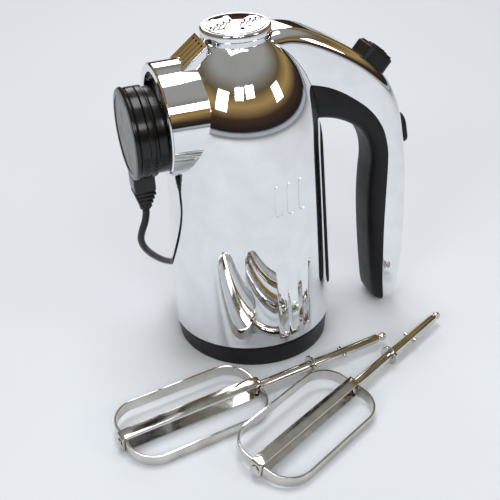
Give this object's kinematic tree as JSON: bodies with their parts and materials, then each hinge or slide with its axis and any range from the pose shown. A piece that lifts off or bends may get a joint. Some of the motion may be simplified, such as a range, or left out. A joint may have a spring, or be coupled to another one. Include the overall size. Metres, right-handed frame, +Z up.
{
  "type": "hand mixer",
  "caption": "Upright chrome hand mixer with a black soft-grip handle, slotted crown, parked round mains plug, rubber heel and loose twin-loop beaters.",
  "frame": {"origin": "on the floor at the middle of the heel, under the body", "axes": "+Z up, +X from the nose towards the handle, -Y the side seen in front, where the beaters lie"},
  "size_m": [0.2261, 0.2231, 0.2042],
  "materials": {
    "chrome": "bright chrome plate",
    "soft_rubber": "matt soft touch",
    "black_plastic": "satin moulded",
    "nylon": "natural nylon",
    "brass": "turned brass",
    "copper": "lacquered copper",
    "lamination": "stacked steel sheet",
    "carbon": "pressed carbon",
    "steel": "turned steel",
    "beater_steel": "polished stainless steel"
  },
  "bodies": {
    "housing": {"housing_near": "chrome", "housing_far": "chrome", "spine_cover": "chrome", "vent_cap": "chrome", "handle_shell": "chrome", "nose_bezel": "chrome", "handle_grip": "soft_rubber", "back_strip": "soft_rubber", "heel_ring": "soft_rubber", "cord_outlet": "soft_rubber", "base_plate": "black_plastic", "switch_body": "black_plastic", "nose_plate": "black_plastic", "plug_cover": "black_plastic", "plug_base": "black_plastic", "strain_relief": "black_plastic", "mains_cord": "black_plastic", "motor_plate": "black_plastic", "gear_case": "black_plastic", "plug_pin_earth": "brass", "plug_pin_line": "brass", "plug_pin_neutral": "brass", "bearing_lower": "brass", "bearing_upper": "brass", "field_coil_near": "copper", "field_coil_far": "copper", "stator_core": "lamination", "brush_near": "carbon", "brush_far": "carbon", "base_screw_1": "steel", "base_screw_2": "steel", "base_screw_3": "steel", "reel_axle": "steel", "reel_spring": "steel"},
    "eject_key": {"eject_button": "soft_rubber"},
    "ejector": {"ejector_plate": "steel", "ejector_rod": "steel", "ejector_spring": "steel"},
    "speed_knob": {"speed_slider": "soft_rubber"},
    "armature": {"armature_shaft": "steel", "armature_core": "lamination", "commutator": "copper", "cooling_fan": "nylon"},
    "drive_near": {"worm_gear_near": "nylon", "spindle_near": "steel"},
    "drive_far": {"worm_gear_far": "nylon", "spindle_far": "steel"},
    "cord_reel": {"reel_drum": "nylon", "reel_cord": "black_plastic"},
    "beater_a": {"beater_a_shaft": "beater_steel", "beater_a_washer": "beater_steel", "beater_a_wide_loop": "beater_steel", "beater_a_narrow_loop": "beater_steel", "beater_a_rivet": "beater_steel"},
    "beater_b": {"beater_b_shaft": "beater_steel", "beater_b_washer": "beater_steel", "beater_b_wide_loop": "beater_steel", "beater_b_narrow_loop": "beater_steel", "beater_b_rivet": "beater_steel"}
  },
  "joints": [
    {"name": "eject_press", "type": "slide", "parent": "housing", "child": "eject_key", "axis": [-0.628, 0, -0.7782], "range_m": [0, 0.005], "stiffness_N_per_m": 900, "springref_m": -0.003},
    {"name": "ejector_slide", "type": "slide", "parent": "housing", "child": "ejector", "axis": [-0.9993, 0, -0.0366], "range_m": [0, 0.0018]},
    {"name": "speed_slide", "type": "slide", "parent": "housing", "child": "speed_knob", "axis": [-0.1925, 0, 0.9813], "range_m": [0, 0.013]},
    {"name": "motor_spin", "type": "hinge", "parent": "housing", "child": "armature", "pos_m": [0, 0, 0], "axis": [-0.0366, 0, 0.9993], "continuous": true},
    {"name": "spindle_near_spin", "type": "hinge", "parent": "housing", "child": "drive_near", "pos_m": [-0.00572, -0.0145, 0.1559], "axis": [0.9993, 0, 0.0366], "continuous": true},
    {"name": "spindle_far_spin", "type": "hinge", "parent": "housing", "child": "drive_far", "pos_m": [-0.00572, 0.0145, 0.1559], "axis": [0.9993, 0, 0.0366], "continuous": true},
    {"name": "reel_turn", "type": "hinge", "parent": "housing", "child": "cord_reel", "pos_m": [0, 0, 0], "axis": [-0.0366, 0, 0.9993], "range_deg": [0, 3240]},
    {"name": "beater_a_pull", "type": "slide", "parent": "housing", "child": "beater_a", "axis": [-0.981, -0.1942, 0], "range_m": [0, 0.1]},
    {"name": "beater_b_lift", "type": "slide", "parent": "housing", "child": "beater_b", "axis": [0, 0, 1], "range_m": [0, 0.12]}
  ],
  "couplings": [
    {"joint": "ejector_slide", "follows": "eject_press", "ratio": 0.36},
    {"joint": "spindle_near_spin", "follows": "motor_spin", "ratio": 0.0625},
    {"joint": "spindle_far_spin", "follows": "motor_spin", "ratio": -0.0625}
  ]
}
